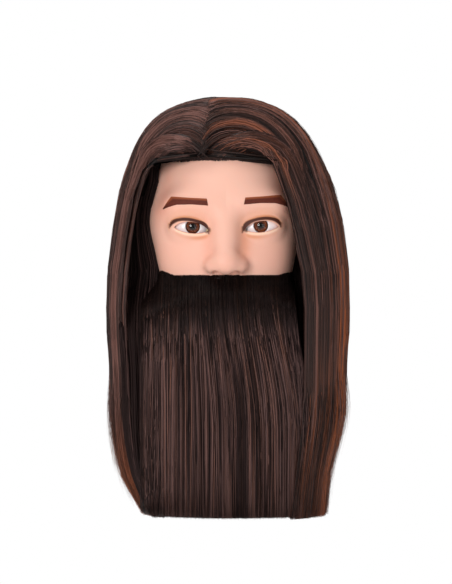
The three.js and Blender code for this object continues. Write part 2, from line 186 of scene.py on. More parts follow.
def new_mesh(name, points, faces, values=None):
    """An object from points in millimetres, faces of one size, and named values at the points."""
    mesh = bpy.data.meshes.new(name)
    points = np.asarray(points, np.float32).reshape(-1, 3) * MM
    faces = np.asarray(faces, np.int32)
    count, size = faces.shape
    mesh.vertices.add(len(points))
    mesh.vertices.foreach_set("co", points.ravel())
    mesh.loops.add(count * size)
    mesh.loops.foreach_set("vertex_index", faces.ravel())
    mesh.polygons.add(count)
    mesh.polygons.foreach_set("loop_start", np.arange(0, count * size, size, dtype=np.int32))
    mesh.update(calc_edges=True)
    mesh.validate()
    mesh.polygons.foreach_set("use_smooth", np.ones(len(mesh.polygons), bool))
    for key, value in (values or {}).items():
        layer = mesh.attributes.new(key, "FLOAT", "POINT")
        layer.data.foreach_set("value", np.asarray(value, np.float32).ravel())
    return new_object(name, mesh)


def grid_faces(rows, columns, wrap):
    r = np.arange(rows - 1)[:, None]
    c = np.arange(columns if wrap else columns - 1)[None, :]
    n = (c + 1) % columns
    faces = np.stack([r * columns + c, (r + 1) * columns + c, (r + 1) * columns + n, r * columns + n], -1)
    return faces.reshape(-1, 4)


def place(obj, material, slot, *nodes):
    """Gives the object its material and the one body to ride on, and hides the CAD nodes it stands for. The
    slot is not used.
    """
    obj.data.materials.append(material)
    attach(obj, "root")
    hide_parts(*nodes)
    return obj


# ---- Materials
def linear(c):
    return c / 255 / 12.92 if c <= 10 else ((c / 255 + 0.055) / 1.055) ** 2.4


def srgb(r, g, b):
    """A screen's colour, 0 to 255, as the linear one a material takes."""
    return linear(r), linear(g), linear(b), 1.0


def grey(v):
    return v, v, v, 1


class Nodes:
    """A material and short ways to add nodes to it."""

    def __init__(self, name, **constants):
        self.material = bpy.data.materials.new(name)
        self.material.use_nodes = True
        self.tree = self.material.node_tree
        self.shader = self.tree.nodes["Principled BSDF"]
        for key, value in constants.items():
            self.shader.inputs[key.replace("_", " ")].default_value = value

    def link(self, source, target):
        self.tree.links.new(source, target)

    def feed(self, socket, value):
        """Links the socket to another node's output, or sets it to a constant."""
        if isinstance(value, bpy.types.NodeSocket):
            self.link(value, socket)
        else:
            socket.default_value = value

    def add(self, kind, **inputs):
        node = self.tree.nodes.new("ShaderNode" + kind)
        for key, value in inputs.items():
            self.feed(node.inputs[key.replace("_", " ")], value)
        return node

    def value(self, attribute):
        node = self.add("Attribute")
        node.attribute_name = attribute
        return node.outputs["Fac"]

    def noise(self, scale, detail=2.0, stretch=(1, 1, 1)):
        mapping = self.add("Mapping", Vector=self.add("TexCoord").outputs["Object"], Scale=stretch)
        return self.add("TexNoise", Vector=mapping.outputs[0], Scale=scale, Detail=detail).outputs["Fac"]

    def ramp(self, factor, stops):
        node = self.add("ValToRGB", Fac=factor)
        elements = node.color_ramp.elements
        elements.remove(elements[1])
        elements[0].position, elements[0].color = stops[0]
        for position, colour in stops[1:]:
            elements.new(position).color = colour
        return node.outputs["Color"]

    def blend(self, factor, a, b, mode="MIX"):
        node = self.add("Mix")
        node.data_type, node.blend_type = "RGBA", mode
        for number, value in ((0, factor), (6, a), (7, b)):  # the sockets of a mix of colours
            self.feed(node.inputs[number], value)
        return node.outputs[2]

    def math(self, operation, a, b=0.0, clamp=False):
        node = self.add("Math")
        node.operation, node.use_clamp = operation, clamp
        self.feed(node.inputs[0], a)
        self.feed(node.inputs[1], b)
        return node.outputs[0]

    def bump(self, height, strength, distance):
        node = self.add("Bump", Strength=strength, Distance=distance, Height=height)
        self.link(node.outputs[0], self.shader.inputs["Normal"])

    def colour(self, socket):
        self.link(socket, self.shader.inputs["Base Color"])


def skin_material():
    m = Nodes("painted_vinyl_skin", Specular_IOR_Level=0.3, Subsurface_Weight=0.06, Subsurface_Scale=0.004)
    tint = m.blend(m.noise(14, 3), srgb(230, 174, 153), srgb(236, 186, 167))
    # The rouge and airbrush layers also carry painted shade beside the nose and under the hanging hair.
    tint = m.blend(m.value("blush_and_painted_shade"), tint, srgb(226, 150, 126))
    tint = m.blend(m.value("orange_airbrush_and_shade"), tint, srgb(204, 124, 66))
    tint = m.blend(m.value("cream"), tint, srgb(252, 222, 192))
    tint = m.blend(m.value("red_rim"), tint, srgb(176, 78, 52))
    tint = m.blend(m.value("line"), tint, srgb(70, 32, 20))
    m.colour(tint)
    m.link(m.math("ADD", 0.5, m.math("MULTIPLY", m.noise(60, 2), 0.12)), m.shader.inputs["Roughness"])
    m.bump(m.noise(900, 2), 0.05, 0.0006)
    return m.material


def hair_material(name, dark, middle, light, red, gloss):
    m = Nodes(name, Roughness=0.42, Specular_IOR_Level=gloss)
    streak = m.math("ADD", m.value("tone"), m.math("MULTIPLY", m.noise(260, 2, (1, 1, 0.12)), 0.16), True)
    shade = m.ramp(streak, [(0.0, srgb(*dark)), (0.5, srgb(*middle)), (1.0, srgb(*light))])
    warm = m.ramp(streak, [(0.0, srgb(*dark)), (0.45, srgb(*[c * 0.62 for c in red])), (1.0, srgb(*red))])
    m.colour(m.blend(m.value("red"), shade, warm))
    return m.material


# ---- Skin
def lid_edges(side, x):
    """Heights of the opening's upper and lower edges at x, and the place across it, -1 at the nose to 1."""
    eye = EYES[side]
    s = (side * x - eye["open"]) / eye["half"]
    bow = unit(1 - np.minimum(np.abs(s), 1) ** 2)
    base = 183.7 + eye["lift"] + 1.5 * np.clip(s, -1.2, 1.2)
    return base + 6.7 * bow**0.72, base - 3.9 * bow**0.8, s


def painted_line(side, x):
    """Height of the painted line over the opening at x, and the place along it."""
    eye = EYES[side]
    s = (side * x - eye["line"]) / eye["line_half"]
    bow = unit(1 - np.minimum(np.abs(s), 1) ** 2.2)
    return 184.5 + eye["lift"] + 2.2 * np.clip(s, -1.2, 1.2) + 8.1 * bow**0.62, s


def eye_opening(side, x, z):
    """Negative inside the opening, positive outside."""
    upper, lower, s = lid_edges(side, x)
    return np.maximum(np.maximum(z - upper, lower - z), (np.abs(s) - 1) * EYES[side]["half"])


def crease_depth(x, z):
    """The fold above each upper lid, as a depth."""
    depth = np.zeros_like(x)
    for side in EYES:
        line, s = painted_line(side, x)
        fold = line + 3.4 - 1.6 * np.clip(s, -1, 1) ** 2
        strength = smooth(1.15, 0.75, np.abs(s))
        depth += 0.55 * strength * bell(z, fold, 1.1)
    return depth


def skin_rays():
    dips = np.concatenate([np.linspace(84, 29, 18), np.linspace(28, -30, 164)])
    share = np.concatenate([np.zeros(len(dips)), np.linspace(1 / 26, 1, 26)])
    dips = np.concatenate([dips, -30 * (1 - share[len(dips):])])
    return np.radians(dips), share


def skin_grid(columns=330, gather=0.72):
    turn = np.arange(columns) / columns * 2 * math.pi
    heading = -math.pi / 2 + turn - gather * np.sin(turn)
    dip, share = skin_rays()
    y0 = mix(HEAD_AXIS_Y, NECK_AXIS_Y, share)[:, None]
    z0 = (RAY_CENTRE_Z * (1 - share))[:, None]
    wx = np.cos(dip)[:, None] * np.cos(heading)
    wy = np.cos(dip)[:, None] * np.sin(heading)
    wz = np.sin(dip)[:, None] * np.ones(columns)
    far = np.full(wx.shape, 190.0)
    for _ in range(110):
        far -= 0.7 * head_field(wx * far, y0 + wy * far, z0 + wz * far)
    points = grid(wx * far, y0 + wy * far, z0 + wz * far)
    front = points[..., 1] < FACE_Y
    points[..., 1] += np.where(front, crease_depth(points[..., 0], points[..., 2]), 0)
    return points


def cut_openings(points, faces):
    """Cuts both eye openings out of the triangles and returns the kept ones and the cut edges."""
    for side in EYES:
        away = eye_opening(side, points[:, 0], points[:, 2])
        away[points[:, 1] > FACE_Y] = 50.0  # nothing is cut at the back
        inside = away < 0
        count = inside[faces].sum(1)
        kept = list(faces[count == 0])
        extra, where, start = [], {}, len(points)

        def crossing(a, b):
            key = (min(a, b), max(a, b))
            if key not in where:
                t = away[a] / (away[a] - away[b])
                where[key] = start + len(extra)
                extra.append(mix(points[a], points[b], t))
            return where[key]

        rim = []
        for face in faces[(count > 0) & (count < 3)]:
            while inside[face[0]] or not inside[face[2]]:
                face = np.roll(face, 1)
            a, b, c = face  # a is outside the opening and c inside it
            ca = crossing(c, a)
            cb = crossing(b, c) if not inside[b] else crossing(a, b)
            kept.append([a, b, cb] if not inside[b] else [a, cb, ca])
            if not inside[b]:
                kept.append([a, cb, ca])
            rim.append([cb, ca])
        rim = np.array(rim)
        points = np.vstack([points, extra])
        faces = np.array(kept)
        points, faces = add_rim(points, faces, rim)
    return points, faces


def add_rim(points, faces, rim):
    """The lid's thickness: a strip from the cut edge back to the eye."""
    ids = np.unique(rim)
    back = points[ids] + np.array([0, 3.4, 0])
    where = {a: len(points) + i for i, a in enumerate(ids)}
    strip = []
    for a, b in rim:
        strip += [[a, where[a], where[b]], [a, where[b], b]]
    return np.vstack([points, back]), np.vstack([faces, strip])


def skin_paint(points):
    """The painted colours of the face as values at the points, painted shade among them."""
    x, y, z = points.T
    front = smooth(-55, -75, y)
    paint = {key: np.zeros(len(points)) for key in ("line", "orange_airbrush_and_shade", "cream", "red_rim")}

    def cover(key, *layers):
        for layer in layers:
            paint[key] = np.maximum(paint[key], layer)

    for side in EYES:
        lower, s = lid_edges(side, x)[1:]
        line, t = painted_line(side, x)
        across, along = np.abs(s), np.abs(t)
        inner_end = EYES[side]["open"] - EYES[side]["half"]
        within = smooth(1.12, 0.98, along) * (side * x > 5)
        thick = 1.45 + 0.8 * smooth(0.5, 1.0, along) + 0.9 * smooth(-0.3, -0.9, t)
        stroke = smooth(thick + 0.5, thick - 0.3, np.abs(z - line + 0.2)) * within
        corner = smooth(3.6, 1.6, np.hypot(side * x - inner_end - 0.2, z - lower - 0.6))
        cover("line", stroke, 0.85 * corner)
        above = z - line
        halo = bell(above, 1.2, 2.6) * smooth(1.25, 0.9, along) * 0.75
        socket = bell(above, 4, 6.5) * smooth(1.4, 0.7, along) * 0.24
        under = bell(lower - z, 4.4, 2.0) * smooth(1.25, 0.8, across)
        ends = bell(along, 1.02, 0.12) * bell(above, 0, 4.0) * 0.5
        under = under * mix(0.6, 0.2, smooth(-0.6, 0.5, s))
        cover("orange_airbrush_and_shade", *[colour * (side * x > 4) for colour in (halo, socket, under, ends)])
        rim = smooth(3.6, 1.8, lower - z) * (z < lower + 0.2) * smooth(1.15, 0.85, across)
        cover("cream", 0.55 * rim)
        edge = smooth(0.75, 0.2, np.abs(lower - z)) * smooth(1.08, 0.95, across)
        cover("red_rim", 0.75 * edge)
    cheek = bell(np.abs(x), 46, 20) * bell(z, 158, 20) * 0.22
    nose = bell(x, 0, 12) * bell(z, 148, 9) * 0.2
    # Painted shade beside the nose, and where the hanging hair shades the face: high on the head's left
    # forehead and at the temple on each side.
    nose_side_shade = bell(np.abs(x), 17, 6) * bell(z, 168, 22) * 0.4
    hair_edge_shade = smooth(36, 58, x) * smooth(205, 235, z) + 0.5 * smooth(44, 60, np.abs(x)) * smooth(175, 205, z)
    paint["blush_and_painted_shade"] = np.minimum(cheek + nose + nose_side_shade + hair_edge_shade, 1)
    # Painted shade on the nose's left side and along the forehead's left edge beside the hanging hair, in the
    # airbrush layer.
    shade = bell(x, 17, 5.5) * smooth(150, 166, z) * smooth(204, 186, z) * 0.3
    cover("orange_airbrush_and_shade", shade, 0.3 * smooth(46, 60, x) * smooth(205, 235, z))
    return {key: value * front for key, value in paint.items()}


def build_skin():
    rays = skin_grid()
    rows, columns = rays.shape[:2]
    ring = rays[-1]
    axis = np.array([0, NECK_AXIS_Y, 0])
    out = ring - axis
    inner = axis + out * (1 - SKIN_WALL / np.linalg.norm(out[:, :2], axis=1))[:, None]
    points = np.vstack([rays.reshape(-1, 3), inner, inner + [0, 0, 30]])
    quads = grid_faces(rows + 2, columns, True)
    faces = np.vstack([quads[:, :3], quads[:, [0, 2, 3]]])
    top = len(points)
    points = np.vstack([points, rays[0].mean(0)])
    c = np.arange(columns)
    faces = np.vstack([faces, np.stack([np.full(columns, top), c, (c + 1) % columns], -1)])
    points, faces = cut_openings(points, faces)
    skin = new_mesh("vinyl_skin", points, faces, skin_paint(points))
    place(skin, skin_material(), "skin", "head_skin")


# ---- Eyes
DISC_POINTS, DOME_RADIUS = 64, 9.2


def eye_disc(name, radii, depths, centre, values=None):
    """Rings about an axis along Y, from the middle outwards, given by their radii and places along Y."""
    turn = np.arange(DISC_POINTS) / DISC_POINTS * 2 * math.pi
    x = centre[0] + np.outer(radii, np.cos(turn))
    z = centre[1] + np.outer(radii, np.sin(turn))
    y = np.repeat(np.asarray(depths, float)[:, None], DISC_POINTS, 1)
    faces = grid_faces(len(radii), DISC_POINTS, True)[:, ::-1]
    return new_mesh(name, grid(x, y, z), faces, values)


def build_eye(side):
    word = WORDS[side]
    iris = (side * EYES[side]["iris"], IRIS_Z + EYES[side]["lift"])
    # The white, an oval cut flat behind, with a shallow seat for the iris.
    rows, columns = 40, 96
    angle = np.linspace(0.02, math.pi / 2, rows)
    turn = np.arange(columns) / columns * 2 * math.pi
    x = side * 32 + EYE_RADII[0] * np.outer(np.sin(angle), np.cos(turn))
    z = EYE_Z + EYE_RADII[2] * np.outer(np.sin(angle), np.sin(turn))
    y = EYE_Y - EYE_RADII[1] * np.repeat(np.cos(angle)[:, None], columns, 1)
    from_iris = np.hypot(x - iris[0], z - iris[1])
    y = y + 3.6 * smooth(IRIS_RADIUS + 0.4, IRIS_RADIUS - 0.5, from_iris)
    white = new_mesh("eye_white_" + word, grid(x, y, z), grid_faces(rows, columns, True)[:, ::-1])
    place(white, WHITE, "eye_white", "eye_globe_" + word)
    # The iris, slightly dished.
    radii = np.concatenate([np.linspace(0.05, 2.3, 6), np.linspace(2.5, IRIS_RADIUS, 26)])
    dish = IRIS_Y + 0.9 * smooth(IRIS_RADIUS, 0, radii) ** 1.5
    across = np.repeat(radii[:, None] / IRIS_RADIUS, DISC_POINTS, 1)
    around = np.repeat(np.arange(DISC_POINTS)[None, :] / DISC_POINTS, len(radii), 0)
    values = {"across": across, "fibre": fibre_noise(around, across)}
    disc = eye_disc("eye_iris_disc_" + word, radii, dish, iris, values)
    place(disc, IRIS, "iris", "eye_iris_" + word)
    # The clear dome.
    radii = np.linspace(0.05, IRIS_RADIUS + 0.25, 24)
    rise = np.sqrt(DOME_RADIUS**2 - radii**2)
    clear = eye_disc("eye_dome_" + word, radii, IRIS_Y - 0.2 - (rise - rise[-1]), iris)
    place(clear, CLEAR, "cornea", "eye_cornea_" + word)


def fibre_noise(around, across):
    waves = np.zeros_like(around)
    for count in (9, 17, 31, 32):
        waves += np.sin(2 * math.pi * (count * around + RNG.random()) + 2.5 * across * RNG.random())
    return 0.5 + 0.13 * waves


def white_material():
    m = Nodes("eye_white", Roughness=0.16, Coat_Weight=0.5)
    m.colour(m.blend(m.noise(90, 3), srgb(226, 212, 212), srgb(240, 232, 232)))
    return m.material


def iris_material():
    m = Nodes("brown_iris", Roughness=0.6, Specular_IOR_Level=0.0)
    shade = m.ramp(
        m.value("across"),
        [
            (0.0, srgb(6, 4, 4)), (0.38, srgb(9, 6, 6)), (0.5, srgb(84, 40, 22)), (0.75, srgb(132, 68, 38)),
            (0.9, srgb(88, 40, 24)), (1.0, srgb(20, 11, 9)),
        ],
    )
    streaks = m.blend(m.value("fibre"), srgb(120, 110, 110), srgb(255, 255, 255))
    m.colour(m.blend(0.8, shade, streaks, "MULTIPLY"))
    return m.material


def clear_material():
    m = Nodes(
        "clear_dome", Roughness=0.02, Transmission_Weight=1.0, IOR=1.08, Coat_Weight=0.8, Coat_Roughness=0.02
    )
    m.colour(m.blend(m.noise(30), (0.97, 0.97, 0.98, 1), (1, 1, 1, 1)))
    return m.material


# ---- Eyebrows
BROW_TOP = np.array([[17.9, 212.4], [34.0, 213.6], [51.0, 215.4], [54.6, 210.6], [58.9, 204.2]])
BROW_FOOT = np.array([[16.6, 205.9], [31.5, 207.3], [46.0, 207.4], [54.0, 205.3], [58.6, 203.6]])


def build_brow(side):
    rows, columns = 16, 60
    along = evenly(columns)
    places = evenly(len(BROW_TOP))
    top = np.stack([np.interp(along, places, BROW_TOP[:, i]) for i in (0, 1)], -1)
    foot = np.stack([np.interp(along, places, BROW_FOOT[:, i]) for i in (0, 1)], -1)
    up = evenly(rows)[:, None, None]
    flat = mix(foot[None], top[None], up)
    x = side * flat[..., 0]
    z = flat[..., 1]
    if side < 0:  # this brow sits lower and slopes down more
        z = z - 1.3 + 0.02 * (34 - flat[..., 0])
    y = skin_y(x, z) - 0.45
    values = {"up": np.repeat(up[..., 0], columns, 1), "along": np.repeat(along[None], rows, 0)}
    faces = grid_faces(rows, columns, False)
    faces = faces if side < 0 else faces[:, ::-1]
    word = WORDS[side]
    brow = new_mesh("painted_brow_" + word, grid(x, y, z), faces, values)
    thick = brow.modifiers.new("thickness", "SOLIDIFY")
    thick.thickness, thick.offset = 0.35 * MM, -1
    place(brow, BROW, "brow", "brow_" + word)


def brow_material():
    m = Nodes("brown_brow", Roughness=0.6, Specular_IOR_Level=0.12)
    streak = m.noise(420, 3, (1, 1, 3))
    shade = m.blend(streak, srgb(74, 32, 25), srgb(104, 48, 35))
    high = m.ramp(m.value("up"), [(0.6, grey(0)), (1.0, grey(0.85))])
    shade = m.blend(high, shade, srgb(168, 92, 58))
    outer = m.ramp(m.value("along"), [(0.7, grey(0)), (1.0, grey(0.7))])
    m.colour(m.blend(outer, shade, srgb(50, 22, 16)))
    return m.material


# ---- Shape of the hair
def hair_scale(z):
    """The size of the hair's outline at height z: 1 up to the shoulder, 0 at the top."""
    t = unit((z - SHOULDER) / (HAIR_TOP - SHOULDER))
    return (1 - t**DOME_POWER) ** (1 / DOME_POWER)


def hair_axes(z, right, front):
    """Half the hair's width and depth at height z, on the side and in the direction asked for."""
    fall = unit((SHOULDER - z) / (SHOULDER - HEM))
    side = REACH["side"] * np.where(right, 1 - 0.29 * fall**5, 1 - 0.17 * smooth(0.45, 0.92, fall))
    side = side * (1 - 0.034 * smooth(0.08, 0.34, fall))
    depth = np.where(front, REACH["front"] * (1 - 0.14 * fall**1.5), REACH["back"] * (1 - 0.12 * fall**1.5))
    return side, depth


def hair_ring(heading, z):
    """A point of the hair's outside at a heading and height."""
    c, s = np.cos(heading), np.sin(heading)
    a, b = hair_axes(z, c < 0, s < 0)
    power = 2 / RING_POWER
    x = HAIR_X + np.sign(c) * np.abs(c) ** power * np.maximum(a * hair_scale(z), 1)
    y = HAIR_Y + np.sign(s) * np.abs(s) ** power * np.maximum(b * hair_scale(z), 1)
    return x, y


def dome_height(x, y):
    """The height of the hair's outside above (x, y)."""
    a, b = hair_axes(SHOULDER, x < HAIR_X, y < HAIR_Y)
    rho = np.abs((x - HAIR_X) / a) ** RING_POWER + np.abs((y - HAIR_Y) / b) ** RING_POWER
    rho = unit(rho ** (1 / RING_POWER))
    return SHOULDER + (HAIR_TOP - SHOULDER) * (1 - rho**DOME_POWER) ** (1 / DOME_POWER)


def waver(place_value, size, seed):
    """Smooth noise along one line, about -1 to 1, with bumps of the size given."""
    table = np.random.default_rng(seed).uniform(-1, 1, 4096)
    at = np.asarray(place_value, float) / size + 2000
    low = np.floor(at).astype(int)
    return mix(table[low % 4096], table[(low + 1) % 4096], smooth(0, 1, at - low))


def hair_axis(paths, top):
    """The hair's upright axis, level with each point of the paths but no higher than top."""
    middle = np.zeros_like(paths)
    middle[..., 0], middle[..., 1] = HAIR_X, HAIR_Y
    middle[..., 2] = np.minimum(paths[..., 2], top)
    return middle


def resample(paths, count):
    """Paths of many points each to count points each, evenly spaced along their length."""
    steps = np.linalg.norm(np.diff(paths, axis=1), axis=2)
    run = np.concatenate([np.zeros((len(paths), 1)), np.cumsum(steps, 1)], 1)
    out = np.empty((len(paths), count, 3))
    share = evenly(count)
    for i, (line, length) in enumerate(zip(paths, run)):
        for axis in range(3):
            out[i, :, axis] = np.interp(share * length[-1], length, line[:, axis])
    return out


def strands(name, paths, width, tone, red, material, slot, *nodes):
    """Many thin three-sided hairs, each tapering at both ends, as one placed mesh."""
    n, m = paths.shape[:2]
    along = np.gradient(paths, axis=1)
    along /= np.maximum(np.linalg.norm(along, axis=2, keepdims=True), 1e-6)
    out = paths - hair_axis(paths, 150)
    across = np.cross(along, out)
    across /= np.maximum(np.linalg.norm(across, axis=2, keepdims=True), 1e-6)
    up = np.cross(across, along)
    share = evenly(m)[None, :]
    taper = (0.35 + 0.65 * smooth(0, 0.08, share)) * (1 - 0.9 * smooth(0.86, 1, share))
    w = (np.asarray(width)[:, None] * taper)[..., None]
    corners = [paths - across * w / 2, paths + across * w / 2, paths + up * w * 0.42]
    points = np.stack(corners, 2)  # strand, step, corner
    base = (np.arange(n) * m * 3)[:, None, None]
    step = (np.arange(m - 1) * 3)[None, :, None]
    k = np.arange(3)[None, None, :]
    nxt = (k + 1) % 3
    faces = np.stack([base + step + k, base + step + nxt, base + step + 3 + nxt, base + step + 3 + k], -1)
    data = {}
    for key, value in (("tone", tone), ("red", red)):
        data[key] = np.repeat(np.broadcast_to(np.reshape(value, (n, -1)), (n, m)), 3)
    data["along"] = np.tile(np.repeat(share[0], 3), n)
    hair = new_mesh(name, points, faces.reshape(-1, 4), data)
    place(hair, material, slot, *nodes)


# ---- Long hair
PART = np.array([[-21.0, -102], [-12, -62], [-8, -22], [-7, 22]])
FRONT_HEADING = {-1: math.radians(214.9), 1: math.radians(-55.2)}
BACK_HEADING = math.pi / 2
# Painted highlights and painted shade sweeping over the top, by side: share from the face to the back, width,
# and how bright; the shaded ones are also set deeper.
LIT_AND_SHADED_SWEEPS = {
    -1: (
        (0.008, 0.008, 0.7), (0.032, 0.008, -0.7), (0.055, 0.012, 0.4), (0.085, 0.01, -0.8),
        (0.13, 0.02, 0.4), (0.18, 0.015, -0.6), (0.25, 0.03, 0.3),
    ),
    1: (
        (0.004, 0.006, 0.4), (0.022, 0.01, -1.1), (0.052, 0.014, 0.9), (0.082, 0.007, -0.8),
        (0.12, 0.02, 0.5), (0.17, 0.012, -0.7), (0.24, 0.03, 0.4),
    ),
}
# The fringe starts on a contour over the forehead: its ends in X by side, and its Y at known places in X.
HAIRLINE_END = {-1: -58.0, 1: 40.0}
HAIRLINE_DEPTH = ([-58, -50, -40, -22, 0, 20, 40], [-83, -91, -97, -101.5, -103.5, -102.5, -98])
DOME_POINTS, FALL_POINTS = 44, 34  # points of a path over the dome and below its shoulder


def hair_paths(side, share, loose=1.0):
    """Paths over the dome and down at shares from 0 at the face to 1 at the back, with headings and fringe."""
    n = len(share)
    along_part = unit(share / 0.55)
    places = evenly(len(PART))
    start = np.stack([np.interp(along_part, places, PART[:, i]) for i in (0, 1)], -1)
    fringe = loose * smooth(0.18, 0.06, share) * (RNG.random(n) < 0.6) * RNG.random(n)
    forehead = mix(start[:, 0], HAIRLINE_END[side], fringe)
    line = np.stack([forehead, np.interp(forehead, *HAIRLINE_DEPTH)], -1)
    start = np.where(fringe[:, None] > 0, line, start)
    beyond = smooth(0.5, 0.75, share)[:, None]
    start += loose * (np.where(fringe > 0, 0.5, 1.2)[:, None] + 3 * beyond) * RNG.normal(0, 1, (n, 2))
    heading = mix(FRONT_HEADING[side], BACK_HEADING, share)
    end = np.stack(hair_ring(heading, SHOULDER), -1)
    away = end - start
    away /= np.linalg.norm(away, axis=1, keepdims=True)
    lead = mix(np.array([side, 0.0]), away, beyond)
    back = mix(24.0, 34.0, smooth(0, 0.6, share))[:, None] * np.array([0, 1.0]) * (1 - beyond)
    control1 = start + lead * mix(26, 10, fringe)[:, None] + back * np.where(fringe > 0, 0.55, 1.0)[:, None]
    centre = np.array([HAIR_X, HAIR_Y])
    control2 = centre + (end - centre) * 0.86
    first = loose * np.where((RNG.random(n) < 0.55) | (fringe > 0), 0.0, RNG.uniform(0, 0.5, n))
    eased = 1 - (1 - evenly(DOME_POINTS)[None, :]) ** 1.5
    t = mix(first[:, None], 1, eased)[..., None]
    plan = (
        (1 - t) ** 3 * start[:, None] + 3 * (1 - t) ** 2 * t * control1[:, None]
        + 3 * (1 - t) * t**2 * control2[:, None] + t**3 * end[:, None]
    )
    dome = np.concatenate([plan, dome_height(plan[..., 0], plan[..., 1])[..., None]], -1)
    dome[..., 0] -= 3.5 * smooth(190, 300, dome[..., 2])
    outer = np.abs(np.cos(heading)) ** 3
    short = RNG.random(n) < mix(0.12, 0.34, outer)
    uneven = RNG.uniform(0, 2.5, n)
    tip = HEM + loose * (uneven + np.where(short, RNG.uniform(0, 1, n) * mix(30, 95, outer), 0))
    drop = evenly(FALL_POINTS)[None, 1:]
    z = SHOULDER + (tip[:, None] - SHOULDER) * drop
    lock = np.round(heading * 22) / 22 + 0.012 * waver(heading * 22, 1.0, 3)
    pull = loose * 0.35 * smooth(60, -86, z)
    sway = loose * 0.012 * waver(heading[:, None] * 14 + z / 90, 1.0, 11 + side)
    turned = mix(heading[:, None], lock[:, None], pull) + sway * smooth(110, 0, z)
    hx, hy = hair_ring(turned, z)
    return np.concatenate([dome, np.stack([hx, hy, z], -1)], 1), heading, fringe


def inset_paths(paths, depth):
    """Moves paths towards the head's middle, level below the shoulder of the hair."""
    centre = hair_axis(paths, 120)
    out = paths - centre
    far = np.linalg.norm(out, axis=2, keepdims=True)
    return centre + out * np.maximum(1 - depth[..., None] / np.maximum(far, 1), 0.1)


def to_edge(side, paths, share):
    """Draws the paths near the face sideways, so that the foremost follows the curtain's edge."""
    natural = hair_paths(side, np.zeros(1), 0.0)[0][0]
    fall_from = int(np.argmax(natural[:, 2]))
    line = natural[fall_from:][::-1]
    z = paths[..., 2]
    shift = (curtain_edge(side, z) - np.interp(z, line[:, 2], line[:, 0])) * smooth(262, 238, z)
    paths = paths.copy()
    paths[..., 0] += shift * smooth(0.3, 0.0, share)[:, None]
    return paths


CURTAIN_EDGES = {  # heights, and the edge's X there
    -1: ([-86, -40, 30, 118, 166, 215, 239, 255, 262], [-58, -78, -91, -94, -90, -82, -74, -55, -20]),
    1: ([-86, 20, 110, 140, 163, 192, 220, 250, 262], [60, 72, 73, 72, 66, 63, 53, 42, 0]),
}


def curtain_edge(side, z):
    """The inner edge of the hair that hangs beside the face."""
    return np.interp(z, *CURTAIN_EDGES[side])


